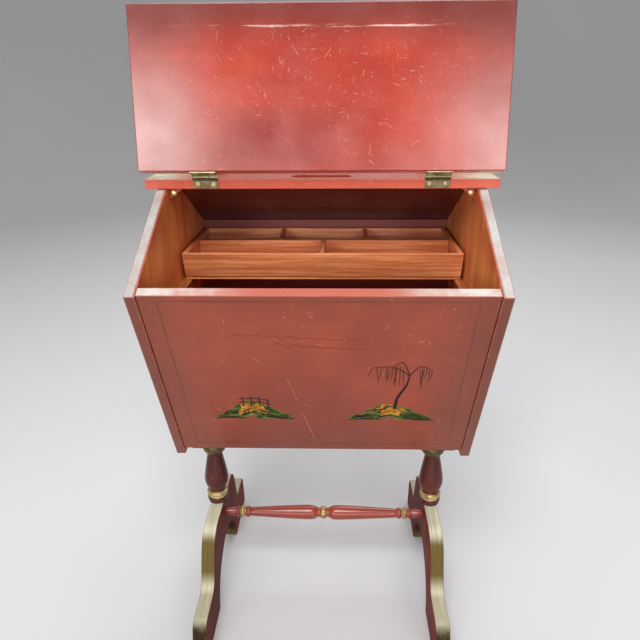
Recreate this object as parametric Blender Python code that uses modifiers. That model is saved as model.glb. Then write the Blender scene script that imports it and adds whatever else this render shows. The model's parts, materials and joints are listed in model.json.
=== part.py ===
"""Sewing table: a gable-topped box with two hinged lids and a sliding tray, on a turned trestle stand.

Metres, +Z up. The feet stand on Z = 0, the ridge runs along X and the front faces -Y.
The front lid stands open, the rear lid is shut and the tray is pushed to the back.
"""

import math

import bmesh
import bpy
from mathutils import Matrix, Vector

# Clearance left between pieces that touch.
GAP = 0.0003

# How far a cutter starts outside the face it cuts.
CUT_PAST = 0.001

# Widths that edges are softened by: boards of the box, thin tray stock, thick stock and the feet.
SOFT_BOARD, SOFT_THIN, SOFT_THICK, SOFT_FOOT = 0.0006, 0.0005, 0.0008, 0.0010

# Box: the end panels' six-sided outline, which sets the lids' pitch and the front and rear panels' lean.
# The rail's and the lids' hinge edges are planed to one angle from the upright, SEAM.
BOX_HALF_WIDTH = 0.166
END_THICKNESS = 0.010
BASE_HALF_DEPTH, BASE_Z = 0.042, 0.2022
SHOULDER_HALF_DEPTH, SHOULDER_Z = 0.155, 0.4283
PITCH = math.radians(28.0)
SEAM = math.radians(13.0)
PANEL_THICKNESS = 0.010
PANEL_SETBACK = 0.0015
PANEL_BOTTOM_Z = 0.2115
BOTTOM_Z, BOTTOM_THICKNESS = 0.2125, 0.010

# Ridge rail, with the slot the table is carried by.
RAIL_LENGTH = 0.356
RAIL_HALF_WIDTH = 0.022
RAIL_TOP_Z, RAIL_THICKNESS = 0.508, 0.010
SLOT_LENGTH, SLOT_WIDTH = 0.062, 0.019
BLOCK_WIDTH, BLOCK_HEIGHT, BLOCK_LENGTH = 0.015, 0.012, 0.028
BLOCK_SCREW_IN, BLOCK_SCREW_DOWN = 0.0048, 0.0043
DOME_RADIUS, DOME_SHANK_RADIUS, DOME_SHANK_LENGTH = 0.0037, 0.0016, 0.010

# Lids. In a lid's own frame +Y runs from the hinge pin to the free edge and +Z is the outer face's normal.
LID_WIDTH, LID_REACH, LID_THICKNESS = 0.357, 0.156, 0.010
LID_OPEN = math.radians(96.0)
PIN_TO_EDGE = 0.0025
PIN_ABOVE_LID = 0.0017

# Butt hinges.
HINGE_X = 0.1155
HINGE_LENGTH = 0.0254
LEAF_THICKNESS = 0.001
LEAF_REACH = 0.0125
LID_LEAF_REACH = 0.0122
LEAF_START = 0.0026
BARREL_RADIUS = 0.0022
PIN_RADIUS = 0.001
SCREW_SPREAD = 0.0078
SCREW_DOWN_LEAF = 0.0078
SCREW_LENGTH = 0.006
HEAD_RADIUS, SHANK_RADIUS = 0.0024, 0.0011

# Tray and the two runners that it slides on.
TRAY_WIDTH = 0.304
TRAY_TOP_DEPTH = 0.134
TRAY_LEAN = math.tan(math.radians(18.5))
TRAY_BOTTOM_Z, TRAY_TOP_Z = 0.3936, 0.4256
TRAY_FLOOR_THICKNESS = 0.003
TRAY_WALL = 0.0055
DIVIDER_THICKNESS, DIVIDER_DROP = 0.0045, 0.0005
TRAY_CENTRE_Y = 0.068
RUNNER_WIDTH, RUNNER_HEIGHT = 0.010, 0.008

# Stand.
POST_X = 0.132
CLEAT_HALF_WIDTH, CLEAT_HALF_DEPTH, CLEAT_THICKNESS = 0.019, 0.030, 0.011
FOOT_THICKNESS = 0.0155
FOOT_TOP_Z = 0.110
ARCH_HALF_WIDTH, ARCH_HEIGHT = 0.066, 0.058
TENON_CLEARANCE = 0.0003
POST_TENON_RADIUS = 0.0045
CLEAT_TENON_RADIUS = 0.006
TENON_LENGTH = 0.010
CLEAT_TENON_LENGTH = 0.008
STRETCHER_Z = 0.091
STRETCHER_TENON_RADIUS, STRETCHER_TENON_LENGTH = 0.0036, 0.0075

LEAN = (SHOULDER_HALF_DEPTH - BASE_HALF_DEPTH) / (SHOULDER_Z - BASE_Z)
LEAN_COS = math.cos(math.atan(LEAN))
RAIL_BOTTOM_Z = RAIL_TOP_Z - RAIL_THICKNESS
INNER_X = BOX_HALF_WIDTH - END_THICKNESS
FOOT_INNER_X = POST_X - FOOT_THICKNESS / 2
POST_STEPS = 24
STRETCHER_STEPS = 18
SMALL_STEPS = 12


# ---------------------------------------------------------------- scene and materials


def clear_scene():
    for obj in list(bpy.data.objects):
        bpy.data.objects.remove(obj, do_unlink=True)


def new_collection(name):
    collection = bpy.data.collections.new(name)
    bpy.context.scene.collection.children.link(collection)
    return collection


def material(name, colour, roughness, metallic=0.0):
    made = bpy.data.materials.new(name)
    made.use_nodes = True
    shader = made.node_tree.nodes["Principled BSDF"]
    shader.inputs["Base Color"].default_value = (*colour, 1.0)
    shader.inputs["Roughness"].default_value = roughness
    shader.inputs["Metallic"].default_value = metallic
    made.diffuse_color = (*colour, 1.0)
    return made


clear_scene()
TABLE = new_collection("sewing_table")
CUTTERS = new_collection("cutters")
RED = material("red_lacquer", (0.30, 0.045, 0.025), 0.35)
GILT_RED = material("red_and_gilt_turning", (0.26, 0.05, 0.03), 0.32)
TRAY_WOOD = material("natural_wood", (0.42, 0.15, 0.045), 0.55)
BRASS = material("brass", (0.62, 0.45, 0.18), 0.35, 1.0)


# ---------------------------------------------------------------- shape helpers


def place(obj, surface, parent=None):
    """Puts a finished object in the table's collection with its material."""
    TABLE.objects.link(obj)
    obj.data.materials.append(surface)
    obj.parent = parent
    return obj


def frame_at(name, location, rotation):
    """An empty that carries the pieces of one hinge side or one moving body."""
    empty = bpy.data.objects.new(name, None)
    empty.empty_display_size = 0.02
    empty.location = location
    empty.rotation_euler = rotation
    TABLE.objects.link(empty)
    return empty


def mesh_object(name, bm):
    mesh = bpy.data.meshes.new(name)
    bm.normal_update()
    bm.to_mesh(mesh)
    bm.free()
    return bpy.data.objects.new(name, mesh)


def box(name, low, high):
    """A box between two corners."""
    low, high = Vector(low), Vector(high)
    bm = bmesh.new()
    matrix = Matrix.Translation((low + high) / 2) @ Matrix.Diagonal((*(high - low), 1.0))
    bmesh.ops.create_cube(bm, size=1.0, matrix=matrix)
    return mesh_object(name, bm)


def cone(name, start, along, radius, end_radius=None, steps=SMALL_STEPS):
    """A cylinder or cone from a point, along a vector that gives its direction and length."""
    start, along = Vector(start), Vector(along)
    turn = along.to_track_quat("Z", "Y").to_matrix().to_4x4()
    end_radius = radius if end_radius is None else end_radius
    bm = bmesh.new()
    matrix = Matrix.Translation(start + along / 2) @ turn
    bmesh.ops.create_cone(
        bm,
        cap_ends=True,
        segments=steps,
        radius1=radius,
        radius2=end_radius,
        depth=along.length,
        matrix=matrix,
    )
    return mesh_object(name, bm)


def outline_board(name, outline, low_x, high_x):
    """A flat outline of (y, z) points, filled and as thick as the span from low_x to high_x."""
    curve = bpy.data.curves.new(name, "CURVE")
    curve.dimensions = "2D"
    curve.fill_mode = "BOTH"
    curve.extrude = (high_x - low_x) / 2
    spline = curve.splines.new("POLY")
    spline.points.add(len(outline) - 1)
    for point, (y, z) in zip(spline.points, outline):
        point.co = (y, z, 0.0, 1.0)
    spline.use_cyclic_u = True
    guide = bpy.data.objects.new(name + "_outline", curve)
    # The curve's own X, Y and Z become the object's Y, Z and X.
    guide.matrix_world = Matrix(((0, 0, 1, (low_x + high_x) / 2), (1, 0, 0, 0), (0, 1, 0, 0), (0, 0, 0, 1)))
    TABLE.objects.link(guide)
    bpy.context.view_layer.update()
    evaluated = guide.evaluated_get(bpy.context.evaluated_depsgraph_get())
    mesh = bpy.data.meshes.new_from_object(evaluated)
    mesh.name = name
    mesh.transform(guide.matrix_world)
    bpy.data.objects.remove(guide, do_unlink=True)
    bm = bmesh.new()
    bm.from_mesh(mesh)
    bmesh.ops.remove_doubles(bm, verts=bm.verts, dist=1e-6)
    bmesh.ops.recalc_face_normals(bm, faces=bm.faces)
    bm.to_mesh(mesh)
    bm.free()
    mesh.materials.clear()
    return bpy.data.objects.new(name, mesh)


def turned(name, profile, steps, matrix=None):
    """A turned piece from (radius, height) points down its outer side, closed on the axis at both ends."""
    bm = bmesh.new()
    points = [bm.verts.new((radius, 0.0, height)) for radius, height in profile]
    for first, second in zip(points, points[1:]):
        bm.edges.new((first, second))
    obj = mesh_object(name, bm)
    if matrix is not None:
        obj.matrix_world = matrix
    screw = obj.modifiers.new("turn", "SCREW")
    screw.axis = "Z"
    screw.steps = screw.render_steps = steps
    screw.use_merge_vertices = True
    screw.merge_threshold = 0.00005
    screw.use_smooth_shade = True
    return obj


def soften(obj, width, segments=1):
    """Rounds an object's edges a little, as sanding does."""
    bevel = obj.modifiers.new("soft_edges", "BEVEL")
    bevel.width = width
    bevel.segments = segments
    bevel.limit_method = "ANGLE"
    bevel.angle_limit = math.radians(35)
    return obj


def shade_smooth(obj, angle=math.radians(40)):
    obj.data.shade_smooth()
    obj.data.set_sharp_from_angle(angle=angle)
    return obj


def cutter(obj, parent=None):
    CUTTERS.objects.link(obj)
    obj.parent = parent
    obj.hide_render = True
    obj.display_type = "WIRE"
    return obj


def cut(obj, tool, operation="DIFFERENCE"):
    modifier = obj.modifiers.new(tool.name, "BOOLEAN")
    modifier.operation = operation
    modifier.solver = "EXACT"
    modifier.object = tool
    return obj


def rounded_outline(corners):
    """Outline points from (y, z, radius) corners, each corner turned by an arc of its radius."""
    points = []
    for i, (y, z, radius) in enumerate(corners):
        here = Vector((y, z))
        if radius == 0:
            points.append((y, z))
            continue
        to_last = (Vector(corners[i - 1][:2]) - here).normalized()
        to_next = (Vector(corners[(i + 1) % len(corners)][:2]) - here).normalized()
        half = to_last.angle(to_next) / 2
        centre = here + (to_last + to_next).normalized() * (radius / math.sin(half))
        start = here + to_last * (radius / math.tan(half)) - centre
        sweep = start.angle_signed(here + to_next * (radius / math.tan(half)) - centre)
        steps = max(3, round(abs(sweep) / math.radians(13)))
        for step in range(steps + 1):
            turn = -sweep * step / steps
            points.append(tuple(centre + Matrix.Rotation(turn, 2) @ start))
    return points


def bead(centre, radius, half_height, floor_radius, steps=6):
    """Profile points of a rounded ring, from its upper edge to its lower edge."""
    angles = [math.pi * step / steps for step in range(steps + 1)]
    depth = radius - floor_radius
    return [(floor_radius + depth * math.sin(a), centre + half_height * math.cos(a)) for a in angles]


def smooth_run(points, steps=4):
    """Profile points on a smooth curve through a few (radius, height) points."""
    ends = [points[0], *points, points[-1]]
    found = []
    for before, start, end, after in zip(ends, ends[1:], ends[2:], ends[3:]):
        before, start, end, after = Vector(before), Vector(start), Vector(end), Vector(after)
        leave, arrive = (end - before) / 2, (after - start) / 2
        for step in range(steps):
            t = step / steps
            on_ends = start * (2 * t**3 - 3 * t**2 + 1) + end * (3 * t**2 - 2 * t**3)
            found.append(tuple(on_ends + leave * (t**3 - 2 * t**2 + t) + arrive * (t**3 - t**2)))
    found.append(points[-1])
    return found


# ---------------------------------------------------------------- box geometry


def edge_y(z, inset=0.0):
    """Half depth at height z of the lower sloping sides, moved inwards by a wall's distance."""
    return BASE_HALF_DEPTH + (z - BASE_Z) * LEAN - inset / LEAN_COS


def under_pitch(inset):
    """Where a lower sloping side, moved inwards, meets the pitch of the lids, as (y, z)."""
    rise = math.tan(PITCH)
    reach = SHOULDER_HALF_DEPTH - BASE_HALF_DEPTH + LEAN * BASE_Z + inset / LEAN_COS
    z = (SHOULDER_Z + reach * rise) / (1 + LEAN * rise)
    return edge_y(z, inset), z


def end_panel(name, low_x):
    top_z = RAIL_BOTTOM_Z - GAP
    top_half = SHOULDER_HALF_DEPTH - (top_z - SHOULDER_Z) / math.tan(PITCH)
    half = [(BASE_HALF_DEPTH, BASE_Z), (SHOULDER_HALF_DEPTH, SHOULDER_Z), (top_half, top_z)]
    outline = half + [(-y, z) for y, z in reversed(half)]
    return place(soften(outline_board(name, outline, low_x, low_x + END_THICKNESS), SOFT_BOARD), RED)


def leaning_panel(name, side):
    """The front (side -1) or rear (side 1) panel, set between the end panels."""
    outer, inner = PANEL_SETBACK, PANEL_SETBACK + PANEL_THICKNESS
    outline = [
        (edge_y(PANEL_BOTTOM_Z, outer), PANEL_BOTTOM_Z),
        under_pitch(outer),
        under_pitch(inner),
        (edge_y(PANEL_BOTTOM_Z, inner), PANEL_BOTTOM_Z),
    ]
    outline = [(side * y, z) for y, z in outline]
    half_length = INNER_X - GAP
    return place(soften(outline_board(name, outline, -half_length, half_length), SOFT_BOARD), RED)


def bottom_board():
    low, high = BOTTOM_Z, BOTTOM_Z + BOTTOM_THICKNESS
    inset = PANEL_SETBACK + PANEL_THICKNESS + GAP
    outline = [(edge_y(low, inset), low), (edge_y(high, inset), high)]
    outline += [(-y, z) for y, z in reversed(outline)]
    half_length = INNER_X - GAP
    return place(outline_board("bottom_board", outline, -half_length, half_length), TRAY_WOOD)


def ridge_rail(hole_tools):
    foot_half = RAIL_HALF_WIDTH - RAIL_THICKNESS * math.tan(SEAM)
    outline = [
        (RAIL_HALF_WIDTH, RAIL_TOP_Z),
        (foot_half, RAIL_BOTTOM_Z),
        (-foot_half, RAIL_BOTTOM_Z),
        (-RAIL_HALF_WIDTH, RAIL_TOP_Z),
    ]
    rail = outline_board("ridge_rail", outline, -RAIL_LENGTH / 2, RAIL_LENGTH / 2)
    soften(rail, SOFT_THICK)
    cut(rail, hand_slot_cutter())
    for tool in hole_tools:
        cut(rail, tool)
    return place(rail, RED)


def hand_slot_cutter():
    """A stadium-shaped slot with a half-round at each end."""
    half_run = (SLOT_LENGTH - SLOT_WIDTH) / 2
    steps = 10
    outline = []
    for side in (1, -1):
        for step in range(steps + 1):
            angle = math.pi * step / steps - math.pi / 2
            along = half_run + SLOT_WIDTH / 2 * math.cos(angle)
            outline.append((side * along, side * SLOT_WIDTH / 2 * math.sin(angle)))
    tool = outline_board("hand_slot_cutter", outline, -RAIL_THICKNESS, RAIL_THICKNESS)
    # The outline's (y, z) plane is laid flat, with its long way along X.
    stand = Matrix(((0, 1, 0, 0), (0, 0, 1, 0), (1, 0, 0, RAIL_TOP_Z - RAIL_THICKNESS / 2), (0, 0, 0, 1)))
    tool.data.transform(stand)
    return cutter(tool)


def rail_block(hand, side):
    """A three-cornered block in the corner under the rail, with a domed screw in its front end."""
    corner_x, top = side * (INNER_X - GAP), RAIL_BOTTOM_Z - GAP
    outline = [(corner_x, top), (corner_x - side * BLOCK_WIDTH, top), (corner_x, top - BLOCK_HEIGHT)]
    block = outline_board(f"{hand}_rail_block", outline, -BLOCK_LENGTH / 2, BLOCK_LENGTH / 2)
    block.data.transform(Matrix(((0, 1, 0, 0), (-1, 0, 0, 0), (0, 0, 1, 0), (0, 0, 0, 1))))
    soften(block, SOFT_BOARD)
    x, z, front = corner_x - side * BLOCK_SCREW_IN, top - BLOCK_SCREW_DOWN, -BLOCK_LENGTH / 2
    along = (0, DOME_SHANK_LENGTH + 0.0015, 0)
    bore = cone(f"{hand}_block_hole", (x, front - 0.001, z), along, DOME_SHANK_RADIUS + GAP)
    cut(block, cutter(bore))
    place(block, RED)
    profile = [
        (0.0, 0.0021),
        (0.0014, 0.0019),
        (0.0027, 0.0013),
        (DOME_RADIUS, 0.0004),
        (DOME_RADIUS, 0.0),
        (DOME_SHANK_RADIUS, 0.0),
        (DOME_SHANK_RADIUS, -DOME_SHANK_LENGTH),
        (0.0, -DOME_SHANK_LENGTH),
    ]
    facing_front = Matrix.Translation((x, front - GAP, z)) @ Matrix.Rotation(math.pi / 2, 4, "X")
    screw = turned(f"{hand}_block_screw", profile, 16, facing_front)
    slot = box(
        f"{hand}_block_screw_slot",
        (x - DOME_RADIUS * 1.2, front - GAP - 0.003, z - 0.0004),
        (x + DOME_RADIUS * 1.2, front - GAP - 0.0012, z + 0.0004),
    )
    cut(screw, cutter(slot))
    place(screw, BRASS)


# ---------------------------------------------------------------- lids and hinges


def pin_place():
    """(y, z) of the rear pins: PIN_TO_EDGE out from the rail's edge, PIN_ABOVE_LID over the shut lid."""
    pitch_normal = Vector((math.sin(PITCH), math.cos(PITCH)))
    height = Vector((SHOULDER_HALF_DEPTH, SHOULDER_Z)).dot(pitch_normal)
    height += GAP + LID_THICKNESS + PIN_ABOVE_LID
    beside = Vector((RAIL_HALF_WIDTH, RAIL_TOP_Z)) + PIN_TO_EDGE * Vector((math.cos(SEAM), -math.sin(SEAM)))
    up_seam = Vector((math.sin(SEAM), math.cos(SEAM)))
    return beside + up_seam * ((height - beside.dot(pitch_normal)) / up_seam.dot(pitch_normal))


def lid(name, parent, hole_tools):
    """A lid whose hinge edge is planed to the seam."""
    bevel = PITCH - SEAM
    outer, inner = -PIN_ABOVE_LID, -PIN_ABOVE_LID - LID_THICKNESS
    start = PIN_TO_EDGE / math.cos(bevel)
    outline = [
        (start - outer * math.tan(bevel), outer),
        (LID_REACH, outer),
        (LID_REACH, inner),
        (start - inner * math.tan(bevel), inner),
    ]
    board = soften(outline_board(name, outline, -LID_WIDTH / 2, LID_WIDTH / 2), SOFT_THICK)
    for tool in hole_tools:
        cut(board, tool)
    return place(board, RED, parent)


def screw_hole(name, x, side, parent):
    """A pilot hole for one hinge screw. Side 1 runs into the lid, side -1 into the rail."""
    start = (x, side * (PIN_TO_EDGE - 0.002), -SCREW_DOWN_LEAF)
    return cutter(cone(name, start, (0, side * (SCREW_LENGTH + 0.002), 0), SHANK_RADIUS + GAP), parent)


def hinge_screw(name, x, side, parent):
    """A countersunk brass screw, its slotted head flush in the leaf."""
    surface = side * (PIN_TO_EDGE - LEAF_THICKNESS - GAP + 0.00012)
    head_depth = LEAF_THICKNESS - 0.0002
    down = -SCREW_DOWN_LEAF
    screw = cone(name, (x, surface, down), (0, side * head_depth, 0), HEAD_RADIUS, SHANK_RADIUS)
    shank_start = (x, surface + side * head_depth / 2, down)
    shank = cone(name + "_shank", shank_start, (0, side * SCREW_LENGTH * 0.8, 0), SHANK_RADIUS * 0.9)
    slot_low = (x - HEAD_RADIUS * 1.2, surface - 0.0004, down - 0.0003)
    slot_high = (x + HEAD_RADIUS * 1.2, surface + 0.0004, down + 0.0003)
    cut(screw, cutter(shank, parent), "UNION")
    cut(screw, cutter(box(name + "_slot", slot_low, slot_high), parent))
    return place(screw, BRASS, parent)


def hinge_leaf(name, x, side, parent, knuckle_spans, reach):
    """One leaf: a plate with two countersunk holes, and its knuckles round the pin."""
    outer = side * (PIN_TO_EDGE - GAP)
    inner = side * (PIN_TO_EDGE - GAP - LEAF_THICKNESS)
    low_y, high_y = sorted((outer, inner))
    half = HINGE_LENGTH / 2
    leaf = box(name, (x - half, low_y, -reach), (x + half, high_y, -LEAF_START))
    for i, (start, end) in enumerate(knuckle_spans):
        strap_low = (x + start, low_y, -LEAF_START - CUT_PAST)
        strap = box(f"{name}_strap_{i}", strap_low, (x + end, high_y, -0.0008))
        along = (end - start, 0, 0)
        knuckle = cone(f"{name}_knuckle_{i}", (x + start, 0, 0), along, BARREL_RADIUS, steps=16)
        cut(leaf, cutter(strap, parent), "UNION")
        cut(leaf, cutter(knuckle, parent), "UNION")
    bore = cone(name + "_bore", (x - half - 0.001, 0, 0), (HINGE_LENGTH + 0.002, 0, 0), PIN_RADIUS + GAP)
    cut(leaf, cutter(bore, parent))
    for i, offset in enumerate((-SCREW_SPREAD, SCREW_SPREAD)):
        start = (x + offset, inner - side * GAP, -SCREW_DOWN_LEAF)
        through = (0, side * (LEAF_THICKNESS + 2 * GAP), 0)
        sink = cone(f"{name}_sink_{i}", start, through, HEAD_RADIUS + 2 * GAP, SHANK_RADIUS + GAP)
        cut(leaf, cutter(sink, parent))
    return place(leaf, BRASS, parent)


def hinge_pin(name, x, parent):
    length = HINGE_LENGTH + 0.001
    pin = cone(name, (x - length / 2, 0, 0), (length, 0, 0), PIN_RADIUS)
    return place(shade_smooth(pin), BRASS, parent)


def lid_set(prefix, side, lid_angle):
    """A lid with its two hinges. Side -1 is the front. It returns the holes that the rail needs."""
    y, z = pin_place()
    heading = math.pi if side < 0 else 0.0
    rail_side = frame_at(f"{prefix}_hinge_line", (0, side * y, z), (-SEAM, 0, heading))
    lid_side = frame_at(f"{prefix}_lid_axis", (0, side * y, z), (lid_angle, 0, heading))
    lid_edge = frame_at(f"{prefix}_lid_edge", (0, side * y, z), (lid_angle + PITCH - SEAM, 0, heading))
    third = HINGE_LENGTH / 6
    outer_spans = ((-HINGE_LENGTH / 2, -third - GAP / 2), (third + GAP / 2, HINGE_LENGTH / 2))
    middle_span = ((-third + GAP / 2, third - GAP / 2),)
    rail_holes, lid_holes = [], []
    for hand, world_x in (("left", -HINGE_X), ("right", HINGE_X)):
        x = side * world_x
        hinge = f"{prefix}_{hand}_hinge"
        hinge_leaf(f"{hinge}_rail_leaf", x, -1, rail_side, outer_spans, LEAF_REACH)
        hinge_leaf(f"{hinge}_lid_leaf", x, 1, lid_edge, middle_span, LID_LEAF_REACH)
        hinge_pin(f"{hinge}_pin", x, rail_side)
        for number, offset in ((1, -SCREW_SPREAD), (2, SCREW_SPREAD)):
            screw_x = x + side * offset
            hinge_screw(f"{hinge}_rail_screw_{number}", screw_x, -1, rail_side)
            hinge_screw(f"{hinge}_lid_screw_{number}", screw_x, 1, lid_edge)
            rail_holes.append(screw_hole(f"{hinge}_rail_hole_{number}", screw_x, -1, rail_side))
            lid_holes.append(screw_hole(f"{hinge}_lid_hole_{number}", screw_x, 1, lid_edge))
    lid(f"{prefix}_lid", lid_side, lid_holes)
    return rail_holes


# ---------------------------------------------------------------- tray


def tray_half_depth(z):
    """Outer half depth of the tray's walls, which lean in towards the bottom."""
    return TRAY_TOP_DEPTH / 2 - (TRAY_TOP_Z - z) * TRAY_LEAN


def tray_profile(low_y, high_y, low_z, high_z):
    """An outline between two walls, given as functions of height."""
    return [(low_y(low_z), low_z), (high_y(low_z), low_z), (high_y(high_z), high_z), (low_y(high_z), high_z)]


def tray():
    carrier = frame_at("tray_slide", (0, TRAY_CENTRE_Y, 0), (0, 0, 0))
    floor_top = TRAY_BOTTOM_Z + TRAY_FLOOR_THICKNESS
    wall_low = floor_top + GAP
    half_width = TRAY_WIDTH / 2
    floor_half = tray_half_depth(TRAY_BOTTOM_Z)
    floor_low = (-half_width, -floor_half, TRAY_BOTTOM_Z)
    floor = box("tray_bottom", floor_low, (half_width, floor_half, floor_top))
    place(soften(floor, SOFT_THIN), TRAY_WOOD, carrier)

    def inner(z):
        return tray_half_depth(z) - TRAY_WALL

    def inner_clear(z):
        return inner(z) - GAP

    middle = DIVIDER_THICKNESS / 2

    for name, side in (("tray_front", -1), ("tray_back", 1)):
        outline = [(side * y, z) for y, z in tray_profile(inner, tray_half_depth, wall_low, TRAY_TOP_Z)]
        board = outline_board(name, outline, -half_width, half_width)
        place(soften(board, SOFT_THIN), TRAY_WOOD, carrier)

    side_outline = tray_profile(lambda z: -inner_clear(z), inner_clear, wall_low, TRAY_TOP_Z)
    for name, low_x in (("tray_left_side", -half_width), ("tray_right_side", half_width - TRAY_WALL)):
        board = outline_board(name, side_outline, low_x, low_x + TRAY_WALL)
        place(soften(board, SOFT_THIN), TRAY_WOOD, carrier)

    reach = half_width - TRAY_WALL - GAP
    top = TRAY_TOP_Z - DIVIDER_DROP
    long_divider = box("tray_long_divider", (-reach, -middle, wall_low), (reach, middle, top))
    place(soften(long_divider, SOFT_THIN), TRAY_WOOD, carrier)

    behind = tray_profile(lambda z: middle + GAP, inner_clear, wall_low, top)
    ahead = [(-y, z) for y, z in behind]
    third = TRAY_WIDTH / 6
    dividers = (
        ("tray_rear_divider_left", -third, behind),
        ("tray_rear_divider_right", third, behind),
        ("tray_front_divider", 0.0, ahead),
    )
    for name, x, outline in dividers:
        board = outline_board(name, outline, x - middle, x + middle)
        place(soften(board, SOFT_THIN), TRAY_WOOD, carrier)


def tray_runner(name, side):
    top = TRAY_BOTTOM_Z - GAP
    low = top - RUNNER_HEIGHT
    inset = PANEL_SETBACK + PANEL_THICKNESS + 2 * GAP
    outline = [(edge_y(low, inset), low), (edge_y(low, inset), top)]
    outline += [(-y, z) for y, z in reversed(outline)]
    near, far = sorted((side * (INNER_X - GAP), side * (INNER_X - GAP - RUNNER_WIDTH)))
    return place(soften(outline_board(name, outline, near, far), SOFT_BOARD), TRAY_WOOD)


# ---------------------------------------------------------------- stand


def post_profile():
    """Down the post: tenon, flange, gilt collar, vase, gilt ring, red ring, tenon."""
    top = BOTTOM_Z - GAP - CLEAT_THICKNESS - GAP
    foot = FOOT_TOP_Z + GAP
    vase = [
        (0.0094, 0.179),
        (0.0095, 0.174),
        (0.0122, 0.159),
        (0.0143, 0.145),
        (0.0136, 0.136),
        (0.0102, 0.1285),
    ]
    return [
        (0.0, top + CLEAT_TENON_LENGTH),
        (CLEAT_TENON_RADIUS, top + CLEAT_TENON_LENGTH),
        (CLEAT_TENON_RADIUS, top),
        (0.0165, top),
        (0.0172, top - 0.001),
        (0.0172, top - 0.0045),
        (0.0125, top - 0.0065),
        *bead(0.1868, 0.0140, 0.0056, 0.0105),
        *smooth_run(vase),
        (0.0098, 0.1265),
        *bead(0.1225, 0.0128, 0.0031, 0.0104),
        (0.0104, 0.1188),
        *bead(0.1152, 0.0124, 0.0028, 0.0108, steps=4),
        (0.0112, foot),
        (POST_TENON_RADIUS, foot),
        (POST_TENON_RADIUS, foot - TENON_LENGTH + 0.001),
        (0.0, foot - TENON_LENGTH + 0.001),
    ]


def stretcher_profile():
    """Along the stretcher: tenon, beads, long swelling half, centre ring, and the same again."""
    end = FOOT_INNER_X - GAP
    swell = [
        (0.0056, 0.0885),
        (0.0066, 0.071),
        (0.0080, 0.045),
        (0.0089, 0.022),
        (0.0085, 0.0125),
        (0.0062, 0.0075),
    ]
    half = [
        (0.0, end + STRETCHER_TENON_LENGTH),
        (STRETCHER_TENON_RADIUS, end + STRETCHER_TENON_LENGTH),
        (STRETCHER_TENON_RADIUS, end),
        (0.0043, end),
        (0.0056, 0.1125),
        (0.0048, 0.1108),
        *bead(0.1075, 0.0067, 0.0022, 0.0048, steps=4),
        *bead(0.1015, 0.0076, 0.0026, 0.0050, steps=5),
        *bead(0.0945, 0.0068, 0.0030, 0.0050, steps=4),
        *smooth_run(swell, steps=3),
        (0.0054, 0.0055),
        *bead(0.0, 0.0080, 0.0038, 0.0058)[:4],
    ]
    return half + [(radius, -x) for radius, x in reversed(half[:-1])]


def foot_outline():
    """Ogee legs and toes over a half-ellipse arch, the same to the front and to the rear."""
    half = [(0.067, FOOT_TOP_Z, 0.034), (0.089, 0.050, 0.014), (0.1395, 0.0480, 0.014), (0.147, 0.0, 0)]
    steps = 16
    arch = []
    for step in range(steps + 1):
        angle = math.pi * step / steps
        arch.append((ARCH_HALF_WIDTH * math.cos(angle), ARCH_HEIGHT * math.sin(angle)))
    return rounded_outline(half + [(y, z, 0) for y, z in arch] + [(-y, z, r) for y, z, r in reversed(half)])


def foot(name, side):
    x = side * POST_X
    board = outline_board(name, foot_outline(), x - FOOT_THICKNESS / 2, x + FOOT_THICKNESS / 2)
    soften(board, SOFT_FOOT)
    above = (x, 0, FOOT_TOP_Z + CUT_PAST)
    down = (0, 0, -TENON_LENGTH - CUT_PAST)
    radius = POST_TENON_RADIUS + TENON_CLEARANCE
    cut(board, cutter(cone(name + "_post_socket", above, down, radius, steps=POST_STEPS)))
    mouth = (side * (FOOT_INNER_X - CUT_PAST), 0, STRETCHER_Z)
    inwards = (side * (STRETCHER_TENON_LENGTH + CUT_PAST + GAP), 0, 0)
    radius = STRETCHER_TENON_RADIUS + TENON_CLEARANCE
    cut(board, cutter(cone(name + "_stretcher_socket", mouth, inwards, radius, steps=POST_STEPS)))
    return place(board, GILT_RED)


def cleat(name, side):
    """The batten under the bottom board that a post is pegged into."""
    high = BOTTOM_Z - GAP
    low = high - CLEAT_THICKNESS
    x = side * POST_X
    low_corner = (x - CLEAT_HALF_WIDTH, -CLEAT_HALF_DEPTH, low)
    board = box(name, low_corner, (x + CLEAT_HALF_WIDTH, CLEAT_HALF_DEPTH, high))
    soften(board, SOFT_BOARD)
    upwards = (0, 0, CUT_PAST + CLEAT_TENON_LENGTH + 2 * GAP)
    radius = CLEAT_TENON_RADIUS + TENON_CLEARANCE
    cut(board, cutter(cone(name + "_socket", (x, 0, low - CUT_PAST), upwards, radius, steps=POST_STEPS)))
    return place(board, RED)


def stand():
    for hand, side in (("left", -1), ("right", 1)):
        cleat(f"{hand}_cleat", side)
        post = turned(f"{hand}_post", post_profile(), POST_STEPS, Matrix.Translation((side * POST_X, 0, 0)))
        place(post, GILT_RED)
        foot(f"{hand}_foot", side)
    lying = Matrix.Translation((0, 0, STRETCHER_Z)) @ Matrix.Rotation(math.pi / 2, 4, "Y")
    place(turned("stretcher", stretcher_profile(), STRETCHER_STEPS, lying), GILT_RED)


# ---------------------------------------------------------------- the whole table

end_panel("left_end_panel", -BOX_HALF_WIDTH)
end_panel("right_end_panel", INNER_X)
leaning_panel("front_panel", -1)
leaning_panel("rear_panel", 1)
bottom_board()
rail_block("left", -1)
rail_block("right", 1)
tray_runner("left_tray_runner", -1)
tray_runner("right_tray_runner", 1)
tray()
front_holes = lid_set("front", -1, LID_OPEN)
rear_holes = lid_set("rear", 1, -PITCH)
ridge_rail(front_holes + rear_holes)
stand()
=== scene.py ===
"""The looks of the sewing table: paint, wood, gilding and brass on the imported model.

The posts, stretcher, feet and block screws become finer pieces, and the front panel gets painted scenery.
All places are in metres.
"""

import json
import math
import random
from functools import partial, reduce

import bmesh
import bpy
from mathutils import Matrix, Vector


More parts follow.
